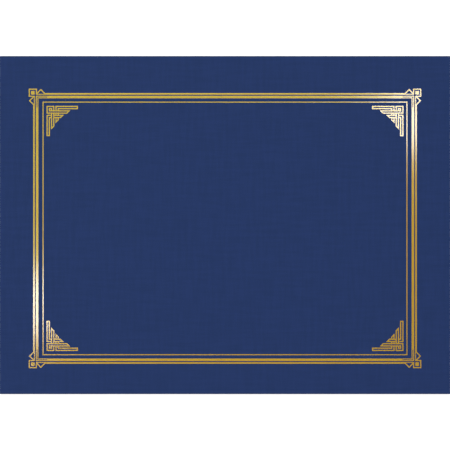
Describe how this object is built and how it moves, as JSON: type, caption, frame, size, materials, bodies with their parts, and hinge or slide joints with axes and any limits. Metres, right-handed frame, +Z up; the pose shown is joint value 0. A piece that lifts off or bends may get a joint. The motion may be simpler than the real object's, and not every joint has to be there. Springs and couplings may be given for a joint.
{
  "type": "diploma cover",
  "caption": "Flat card cover folded once along its top edge, with a gold foil border on the front leaf and corner slits inside that hold a certificate.",
  "frame": {"origin": "on the surface that the cover lies on, under the middle of the closed cover", "axes": "+X along the fold, +Y from the free edges to the fold, +Z up through the closed cover, out of its front face"},
  "size_m": [0.3174, 0.2382, 0.0012],
  "materials": {
    "linen_card": "navy cover stock, dyed through, linen-embossed, matt",
    "gold_foil": "hot-stamped gold foil, bright, pressed flat into the card"
  },
  "bodies": {
    "back": {"back_leaf": "linen_card", "fold_bend": "linen_card"},
    "front": {"front_leaf": "linen_card", "outer_rule_foil": "gold_foil", "heavy_rule_foil": "gold_foil", "inner_rule_foil": "gold_foil", "stud_foil_top_left": "gold_foil", "knot_foil_top_left": "gold_foil", "stud_foil_bottom_left": "gold_foil", "knot_foil_bottom_left": "gold_foil", "stud_foil_bottom_right": "gold_foil", "knot_foil_bottom_right": "gold_foil", "stud_foil_top_right": "gold_foil", "knot_foil_top_right": "gold_foil"}
  },
  "joints": [
    {"name": "front_leaf_hinge", "type": "hinge", "parent": "back", "child": "front", "pos_m": [0, 0.11848, 0.00058], "axis": [-1, 0, 0], "range_deg": [0, 180], "deforming": ["fold_bend"]}
  ]
}
